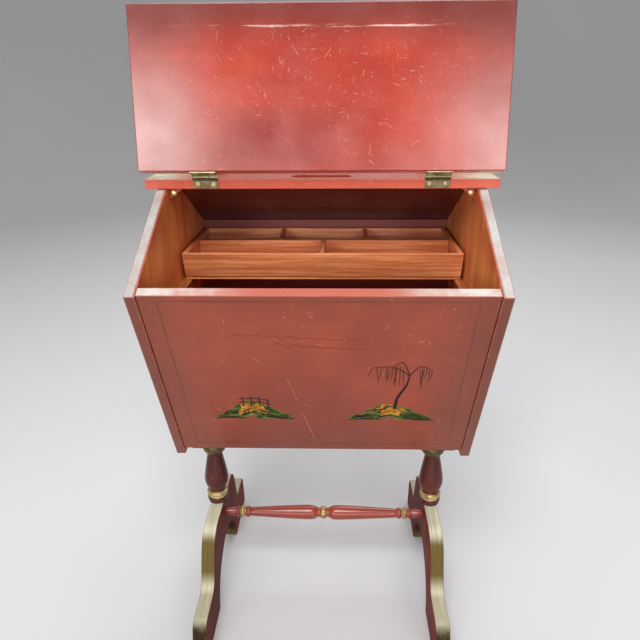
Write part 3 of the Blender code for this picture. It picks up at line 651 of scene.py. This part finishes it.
def spun(name, profile, material, matrix):
    """A finely turned piece from (radius, height) points, closed on the axis at both ends."""
    bm = bmesh.new()
    chain = [bm.verts.new((radius, 0.0, height)) for radius, height in profile]
    edges = [bm.edges.new(pair) for pair in zip(chain, chain[1:])]
    bmesh.ops.spin(bm, geom=chain + edges, axis=(0, 0, 1), angle=math.tau, steps=72, use_merge=True)
    bmesh.ops.remove_doubles(bm, verts=bm.verts, dist=1e-6)
    bmesh.ops.recalc_face_normals(bm, faces=bm.faces)
    bm.transform(matrix)
    in_order(bm)
    return new_object(name, bm, material, sharp_from=50)


def rounded_outline(corners):
    """An outline from (y, z, radius) corners, each rounded by an arc of its radius."""
    points = []
    for i, (y, z, radius) in enumerate(corners):
        here = Vector((y, z))
        if radius == 0:
            points.append((y, z))
            continue
        to_last = (Vector(corners[i - 1][:2]) - here).normalized()
        to_next = (Vector(corners[(i + 1) % len(corners)][:2]) - here).normalized()
        half = to_last.angle(to_next) / 2
        centre = here + (to_last + to_next).normalized() * (radius / math.sin(half))
        start = here + to_last * (radius / math.tan(half)) - centre
        sweep = start.angle_signed(here + to_next * (radius / math.tan(half)) - centre)
        steps = max(3, round(abs(sweep) / math.radians(3.0)))
        for step in range(steps + 1):
            points.append(tuple(centre + Matrix.Rotation(-sweep * step / steps, 2) @ start))
    return points


def board(name, outline, low_x, high_x, material, soft):
    """A flat (y, z) outline extruded along X, with its edges softened by a bevel of width soft."""
    bm = bmesh.new()
    face = bm.faces.new([bm.verts.new((low_x, y, z)) for y, z in outline])
    grown = bmesh.ops.extrude_face_region(bm, geom=[face])
    moved = [item for item in grown["geom"] if isinstance(item, bmesh.types.BMVert)]
    bmesh.ops.translate(bm, vec=(high_x - low_x, 0, 0), verts=moved)
    bmesh.ops.recalc_face_normals(bm, faces=bm.faces)
    in_order(bm)
    obj = new_object(name, bm, material, sharp_from=60)
    bevel = obj.modifiers.new("softened", "BEVEL")
    bevel.width = soft
    bevel.segments = 3
    bevel.limit_method = "ANGLE"
    bevel.angle_limit = math.radians(50)
    obj.modifiers.new("flat_faces", "WEIGHTED_NORMAL").keep_sharp = False
    return obj


def post_profile(top, foot):
    """Collar, vase, ring and two beads, as (radius, height) points from the top down."""
    vase = [
        (0.0094, 0.179), (0.0095, 0.174), (0.0122, 0.159),
        (0.0143, 0.145), (0.0136, 0.136), (0.0102, 0.1285),
    ]
    return [
        (0.0, top), (0.0168, top), (0.0172, top - 0.0006),
        (0.0172, top - 0.0040), (0.0166, top - 0.0048), (0.0130, top - 0.0062),
        *bead(POST_COLLAR, 0.0140, 0.0056, 0.0105),
        *smooth_run(vase),
        (0.0098, 0.1265),
        *bead(POST_RING, 0.0128, 0.0031, 0.0104),
        (0.0104, 0.1190), (0.0108, 0.1184),
        *bead(0.1152, 0.0124, 0.0028, 0.0108),
        (0.0112, foot), (0.0, foot),
    ]


def stretcher_profile(end):
    """Beads and a long swell from each end, meeting in a middle bead, as (radius, x) points."""
    swell = [
        (0.0056, 0.0885), (0.0066, 0.071), (0.0080, 0.045),
        (0.0089, 0.022), (0.0085, 0.0125), (0.0062, 0.0075),
    ]
    half = [
        (0.0, end), (0.0043, end), (0.0056, 0.1125), (0.0048, 0.1108),
        *bead(0.1075, 0.0067, 0.0022, 0.0048),
        *bead(STRETCHER_BEAD, 0.0076, 0.0026, 0.0050),
        *bead(0.0945, 0.0068, 0.0030, 0.0050),
        *smooth_run(swell),
        (0.0054, 0.0055),
        *bead(0.0, 0.0080, 0.0038, 0.0058)[:8],  # half of the middle bead
    ]
    return half + [(radius, -x) for radius, x in reversed(half[:-1])]


def foot_outline(top):
    """A scroll-cut foot: a rounded crest sweeping down to flat-topped toes, over half an ellipse."""
    half = [(0.067, top, 0.034), (0.089, 0.050, 0.014), (0.1395, 0.0480, 0.014), (0.147, 0.0, 0)]
    arch_reach, arch_height, steps = 0.066, 0.058, 60
    arch = []
    for step in range(steps + 1):
        angle = math.pi * step / steps
        arch.append((arch_reach * math.cos(angle), arch_height * math.sin(angle), 0))
    return rounded_outline(half + arch + [(-y, z, radius) for y, z, radius in reversed(half)])


# ------------ painted scenery on the front panel


class PanelPlane:
    """Places on the outer face of the front panel: across along X, up along its slope, from its middle."""

    def __init__(self, node):
        mesh = NODES[node].data
        facing = [face for face in mesh.polygons if face.normal.y < -0.5]
        self.normal = max(facing, key=lambda face: face.area).normal.copy()
        self.up = self.normal.cross(Vector((1, 0, 0))).normalized()
        if self.up.z < 0:
            self.up = -self.up
        level = [face for face in facing if face.normal.dot(self.normal) > 0.999]
        corners = [mesh.vertices[i].co for face in level for i in face.vertices]
        low, high = min(corners, key=lambda p: p.z), max(corners, key=lambda p: p.z)
        self.middle = Vector((0, (low.y + high.y) / 2, (low.z + high.z) / 2))

    def at(self, across, up, lift):
        return self.middle + Vector((across, 0, 0)) + self.up * up + self.normal * lift


def brush(widths, share):
    """The width at a share of a stroke: two or three widths, the middle one halfway."""
    if len(widths) == 2:
        return widths[0] + (widths[1] - widths[0]) * share
    start, middle, end = widths
    if share < 0.5:
        return start + (middle - start) * share * 2
    return middle + (end - middle) * (share * 2 - 1)


def stroke_faces(bm, plane, points, widths, lift):
    """One brush stroke: a ribbon of changing width along the points."""
    count = len(points)
    rows = []
    for i, (x, y) in enumerate(points):
        before, after = Vector(points[max(i - 1, 0)]), Vector(points[min(i + 1, count - 1)])
        direction = (after - before).normalized()
        aside = Vector((-direction.y, direction.x))
        offset = aside * brush(widths, i / (count - 1)) / 2
        left, right = Vector((x, y)) + offset, Vector((x, y)) - offset
        rows.append((bm.verts.new(plane.at(*left, lift)), bm.verts.new(plane.at(*right, lift))))
    for (a, b), (c, d) in zip(rows, rows[1:]):
        bm.faces.new((a, b, d, c))


def painted(name, plane, strokes, material, lift=0.00008):
    """One piece of paint on the panel, from strokes, each its points and its widths."""
    bm = bmesh.new()
    for points, widths in strokes:
        stroke_faces(bm, plane, smooth_run([tuple(p) for p in points], steps=6), widths, lift)
    obj = new_object(name, bm, material)
    thick = obj.modifiers.new("paint_thickness", "SOLIDIFY")
    thick.thickness = 0.00006
    thick.offset = 0.0
    ride(obj, "stand", RED_SLOT)


class Hill:
    """A low painted hill, filled with overlapping dabs that follow its slopes."""

    def __init__(self, x, y, width, height):
        self.x, self.y, self.half, self.height = x, y, width / 2, height

    def top(self, across):
        share = min(abs(across) / self.half, 1.0)
        return self.height * (1 - share) ** 1.25 * (1 + 0.5 * share)

    def dabs(self, count, length, width, seed, spread=0.92, low=0.0):
        """Short strokes at seeded places, within a share of the width and above a share of the height."""
        chance = random.Random(seed)
        strokes = []
        for _ in range(count):
            across = chance.uniform(-1, 1) * self.half * spread
            room = self.top(across)
            up = room * chance.uniform(low, 0.92)
            reach = length / 2 * chance.uniform(0.5, 1.0) * (0.45 + 0.55 * (1 - abs(across) / self.half))
            fall = (room / self.half) * reach * (-0.8 if across > 0 else 0.8)
            x, y = self.x + across, self.y + up
            bow = width * chance.uniform(0.1, 0.5)
            points = ((x - reach, y - fall), (x - reach * 0.2, y + bow), (x + reach, y + fall))
            strokes.append((points, (width * 0.15, width * chance.uniform(0.6, 1.0), width * 0.15)))
        return strokes

    def ground_line(self):
        """Two dark tapering strokes along the foot of the hill."""
        x, y, half = self.x, self.y, self.half
        left = ((x - half * 1.05, y - 0.001), (x - half * 0.6, y + 0.001), (x - half * 0.2, y - 0.0005))
        right = ((x + half * 0.30, y + 0.003), (x + half * 0.7, y + 0.0002), (x + half * 1.10, y - 0.001))
        return [(left, (0.0005, 0.0034, 0.0008)), (right, (0.0012, 0.0036, 0.0005))]


def hanging_tree(root, height, lean, spread, twigs):
    """A slender tree: a leaning trunk, three arching boughs and drooping twigs."""
    chance = random.Random(13)
    x, y = root
    crown = (x + lean, y + height)
    trunk = ((x, y), (x + lean * 0.15, y + height * 0.35), (x + lean * 0.8, y + height * 0.7), crown)
    wood = [(trunk, (0.0040, 0.0026, 0.0013))]
    fine = []
    # Each bough's reach to the side, its rise above the crown and how far its tip drops again.
    boughs = (
        (-spread * 0.85, height * 0.22, height * 0.02),
        (-spread * 0.42, height * 0.36, height * 0.22),
        (spread * 0.48, height * 0.24, height * 0.10),
    )
    for reach, rise, drop in boughs:
        tip = (crown[0] + reach, crown[1] + rise - drop)
        over = (crown[0] + reach * 0.45, crown[1] + rise)
        wood.append(((crown, over, tip), (0.0013, 0.0004)))
        for k in range(twigs):
            share = 0.40 + 0.60 * (k + chance.uniform(-0.35, 0.35)) / max(twigs - 1, 1)
            share = min(share, 1.0)
            start_x = crown[0] + reach * share
            start_y = crown[1] + rise * math.sin(share * math.pi * 0.62) * 1.02 - drop * share**2
            length = height * chance.uniform(0.20, 0.62)
            sway = chance.uniform(-0.0022, 0.0016)
            middle, end = (start_x + sway, start_y - length * 0.5), (start_x + sway * 2.2, start_y - length)
            fine.append((((start_x, start_y), middle, end), (0.0005, 0.0007, 0.0003)))
    return wood, fine


def cloud_line(base, start, end, waves):
    """A row of flattening, sinking arches."""
    points = []
    for step in range(waves * 4 + 1):
        share = step / (waves * 4)
        swell = 0.0042 * abs(math.sin(share * math.pi * waves)) * (1.15 - share)
        points.append((start + (end - start) * share, base + swell - 0.005 * share))
    return points, (0.0003, 0.0008, 0.0003)


def fence(x, y, gap):
    """Four posts and two rails, from the foot of the first post."""
    strokes = []
    for k in range(4):
        post_x, post_y = x + gap * k, y - 0.0012 * (k - 1) ** 2
        post = ((post_x, post_y), (post_x + 0.0004, post_y + 0.008), (post_x, post_y + 0.0165))
        strokes.append((post, (0.0015, 0.0013, 0.0010)))
    for height in (0.0055, 0.0115):
        middle, end = (x + gap * 1.6, y + height + 0.0012), (x + gap * 3.4, y + height - 0.003)
        strokes.append((((x - 0.004, y + height), middle, end), (0.0007, 0.0012, 0.0006)))
    return strokes


def grass(x, y):
    """Eight faint upright blades."""
    strokes = []
    for k in range(8):
        blade_x, tall = x + 0.0032 * k, 0.022 + 0.012 * math.sin(k * 1.7)
        blade = ((blade_x, y), (blade_x + 0.001, y + tall * 0.5), (blade_x - 0.003, y + tall))
        strokes.append((blade, (0.0006, 0.0002)))
    return strokes


def scenery():
    """Two hills, one with a fence and one with a tree, under two lines of cloud."""
    plane = PanelPlane("front_panel")
    ink = paint_finish("ink_paint", tone(24, 18, 18), tone(40, 26, 24), 0.6)
    green = paint_finish("green_paint", tone(104, 122, 50), tone(66, 86, 38))
    ochre = paint_finish("ochre_paint", tone(210, 146, 46), tone(172, 104, 36))
    faint = paint_finish("faint_brown_paint", tone(92, 36, 28), tone(120, 52, 40))
    clouds = [cloud_line(0.069, -0.080, 0.042, 8), cloud_line(0.056, -0.046, 0.050, 6)]
    painted("painted_clouds", plane, clouds, faint)
    left, right = Hill(-0.070, -0.060, 0.078, 0.031), Hill(0.072, -0.061, 0.086, 0.029)
    # A hill's dabs: number, length, width, seed, and the part of the hill that they keep to.
    painted("painted_left_hill", plane, left.dabs(80, 0.021, 0.0064, 5), green, 0.00006)
    painted("painted_right_hill", plane, right.dabs(80, 0.023, 0.0062, 8), green, 0.00006)
    painted("painted_left_light", plane, left.dabs(16, 0.013, 0.0062, 21, 0.30, 0.30), ochre, 0.00013)
    painted("painted_right_light", plane, right.dabs(16, 0.014, 0.0062, 34, 0.30, 0.30), ochre, 0.00013)
    ink_strokes = left.dabs(7, 0.017, 0.0032, 55, 0.9, 0.0) + right.dabs(7, 0.019, 0.0032, 89, 0.9, 0.10)
    ink_strokes += left.ground_line() + right.ground_line() + fence(left.x - 0.010, left.y + 0.022, 0.0085)
    trunk, twigs = hanging_tree((right.x + 0.004, right.y + 0.019), 0.056, 0.011, 0.044, 6)
    painted("painted_ink", plane, ink_strokes + trunk, ink, 0.00020)
    painted("painted_twigs", plane, twigs, ink, 0.00020)
    painted("painted_grass", plane, grass(left.x - 0.046, left.y), faint)


# ------------ the table


def domed_screw(hand, material):
    """The block's screw with a smooth head. Its own Z runs out of the block, towards the front."""
    low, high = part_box(f"{hand}_block_screw")
    radius, length = (high[0] - low[0]) / 2, high[1] - low[1]
    shank, head, steps = radius * 0.43, radius * 0.60, 12
    profile = [(0.0, -(length - head)), (shank, -(length - head)), (shank, 0.0), (radius, 0.0)]
    for step in range(1, steps + 1):
        angle = math.pi / 2 * step / steps
        profile.append((radius * math.cos(angle), head * math.sin(angle)))
    place = Matrix.Translation(((low[0] + high[0]) / 2, low[1] + head, (low[2] + high[2]) / 2))
    screw = spun(f"{hand}_domed_screw", profile, material, place @ Matrix.Rotation(math.pi / 2, 4, "X"))
    ride(screw, "stand", BRASS_SLOT, f"{hand}_block_screw")


def turned_pieces():
    """The finer screws, posts, feet and stretcher, each in the box of its node."""
    post_material, stretch_material, foot_material = post_finish(), stretcher_finish(), foot_finish()
    screw_material = brass_finish("dome_brass", tone(244, 222, 160), tone(214, 184, 118), dull=0.25)
    for hand in ("left", "right"):
        domed_screw(hand, screw_material)
        foot_low, foot_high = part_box(f"{hand}_foot")
        cleat_low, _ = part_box(f"{hand}_cleat")
        x = (foot_low[0] + foot_high[0]) / 2
        profile = post_profile(cleat_low[2] - 0.0003, foot_high[2] + 0.0002)
        post = spun(f"{hand}_turned_post", profile, post_material, Matrix.Translation((x, 0, 0)))
        ride(post, "stand", TURNED_SLOT, f"{hand}_post")
        shape = foot_outline(foot_high[2])
        foot = board(f"{hand}_gilt_foot", shape, foot_low[0], foot_high[0], foot_material, 0.0013)
        ride(foot, "stand", TURNED_SLOT, f"{hand}_foot")
    low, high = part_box("stretcher")
    centre_z = (low[2] + high[2]) / 2
    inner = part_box("right_foot")[0][0] - 0.0002
    lying = Matrix.Translation((0, 0, centre_z)) @ Matrix.Rotation(math.pi / 2, 4, "Y")
    rail = spun("turned_stretcher", stretcher_profile(inner), stretch_material, lying)
    ride(rail, "stand", TURNED_SLOT, "stretcher")


def finishes():
    """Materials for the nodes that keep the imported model's own shape."""
    dress(["front_panel"], lacquer("panel_finish", RED, panel_extras, scratch_share=0.05, coat=0.1))
    dress(["rear_panel"], lacquer("rear_panel_finish", RED, rear_panel_extras))
    dress(["left_end_panel", "right_end_panel"], end_panel_finish())
    lid_red = (tone(170, 48, 24), tone(136, 36, 20), tone(188, 66, 38))
    front_lid = lacquer("front_lid_finish", lid_red, lid_extras, scratch_share=0.30, gloss=0.24, coat=0.6)
    dress(["front_lid"], front_lid)
    dress(["rear_lid"], lacquer("rear_lid_finish", RED, rear_lid_extras, "XY"))
    rail_red = (tone(226, 110, 84), tone(200, 88, 68), tone(238, 134, 104))
    dress(["ridge_rail"], lacquer("rail_finish", rail_red, rail_extras, scratch_share=0.3, gloss=0.28))
    block_red = (tone(170, 50, 40), tone(128, 36, 30), tone(200, 84, 66))
    dress(["left_rail_block", "right_rail_block"], lacquer("block_finish", block_red))
    cleat_red = (tone(112, 42, 34), tone(80, 30, 26), RED_BASE)
    dress(["left_cleat", "right_cleat"], lacquer("cleat_finish", cleat_red))

    tray_tones = (tone(250, 176, 116), tone(230, 142, 90), tone(180, 98, 60))
    along = natural_wood("tray_wood_along", tray_tones, (9.0, 240.0, 240.0), (60.0, 1300.0, 1300.0))
    crosswise = natural_wood("tray_wood_across", tray_tones, (240.0, 9.0, 240.0), (1300.0, 60.0, 1300.0))
    dress(["tray_front", "tray_back", "tray_long_divider", "tray_bottom"], along)
    across_names = ["tray_left_side", "tray_right_side", "tray_front_divider"]
    dress(across_names + ["tray_rear_divider_left", "tray_rear_divider_right"], crosswise)
    plain_tones = (tone(206, 140, 84), tone(170, 100, 56), tone(120, 66, 38))
    runners = natural_wood("runner_wood", plain_tones, (120.0, 5.0, 120.0), (950.0, 30.0, 950.0))
    dress(["left_tray_runner", "right_tray_runner"], runners)
    bottom = natural_wood("bottom_wood", plain_tones, (5.0, 80.0, 80.0), (30.0, 900.0, 900.0))
    dress(["bottom_board"], bottom)

    leaf = brass_finish("hinge_brass", tone(178, 168, 132), tone(136, 126, 94))
    screw = brass_finish("screw_brass", tone(244, 228, 176), tone(222, 200, 140), dull=0.2)
    dress([name for name in NODES if "screw" in name], screw)
    dress([name for name in NODES if "hinge" in name and "screw" not in name], leaf)


def stage():
    """A pale floor that sweeps up into a wall all round, and soft lights."""
    floor_radius, bend, wall_top, steps = 2.6, 1.8, 3.2, 16
    profile = [(0.0, 0.0)]
    for step in range(steps + 1):
        angle = math.pi / 2 * step / steps
        profile.append((floor_radius + bend * math.sin(angle), bend * (1 - math.cos(angle))))
    profile.append((floor_radius + bend, wall_top))
    graph = Graph("floor_finish")
    tint = graph.mix(graph.noise(3.0, 2.0, 0.5), tone(198, 198, 200), tone(204, 204, 205))
    spun("studio_floor", profile, graph.done(tint, 0.8, specular=0.15), Matrix.Identity(4))
    world = bpy.data.worlds.new("studio")
    bpy.context.scene.world = world
    world.use_nodes = True
    background = world.node_tree.nodes["Background"]
    background.inputs["Color"].default_value = (0.86, 0.85, 0.84, 1.0)
    background.inputs["Strength"].default_value = 0.50
    # Each light's name, place, the point it faces, the side of its square, and its watts.
    lights = (
        ("key", (-0.10, -1.05, 1.72), (0.0, 0.0, 0.42), 0.7, 25.0),
        ("front_fill", (0.0, -2.1, 0.12), (0.0, 0.0, 0.30), 1.0, 13.0),
        ("back_fill", (0.6, 2.0, 2.1), (0.0, 0.0, 0.35), 1.0, 14.0),
        ("overhead", (0.1, 0.55, 1.9), (0.0, 0.0, 0.4), 1.4, 16.0),
        ("left_softbox", (-0.92, -2.2, 0.80), (-0.05, 0.0, 0.5), 0.55, 15.0),
        ("right_softbox", (0.78, -2.2, 0.80), (0.05, 0.0, 0.5), 0.48, 9.0),
    )
    for name, place, aim, size, power in lights:
        data = bpy.data.lights.new(name, "AREA")
        data.shape = "SQUARE"
        data.size = size
        data.energy = power
        light = bpy.data.objects.new(name, data)
        light.location = place
        light.rotation_euler = (Vector(aim) - Vector(place)).to_track_quat("-Z", "Y").to_euler()
        bpy.context.scene.collection.objects.link(light)
    bpy.context.scene.view_settings.view_transform = "Standard"


def camera():
    """A camera at the photograph's angle, from its place, pitch, yaw and roll."""
    forward = Vector((
        math.sin(CAMERA_YAW) * math.cos(CAMERA_PITCH),
        math.cos(CAMERA_YAW) * math.cos(CAMERA_PITCH),
        -math.sin(CAMERA_PITCH),
    ))
    level = Vector((math.cos(CAMERA_YAW), -math.sin(CAMERA_YAW), 0.0))
    upright = level.cross(forward)
    right = level * math.cos(CAMERA_ROLL) + upright * math.sin(CAMERA_ROLL)
    up = upright * math.cos(CAMERA_ROLL) - level * math.sin(CAMERA_ROLL)
    data = bpy.data.cameras.new("photo_camera")
    data.sensor_width = SENSOR_WIDTH
    data.lens = CAMERA_LENS
    data.clip_start = 0.01
    obj = bpy.data.objects.new("photo_camera", data)
    turn = Matrix((right, up, -forward)).transposed().to_4x4()
    obj.matrix_world = Matrix.Translation(CAMERA_PLACE) @ turn
    bpy.context.scene.collection.objects.link(obj)
    bpy.context.scene.camera = obj


stage()
camera()
finishes()
turned_pieces()
scenery()
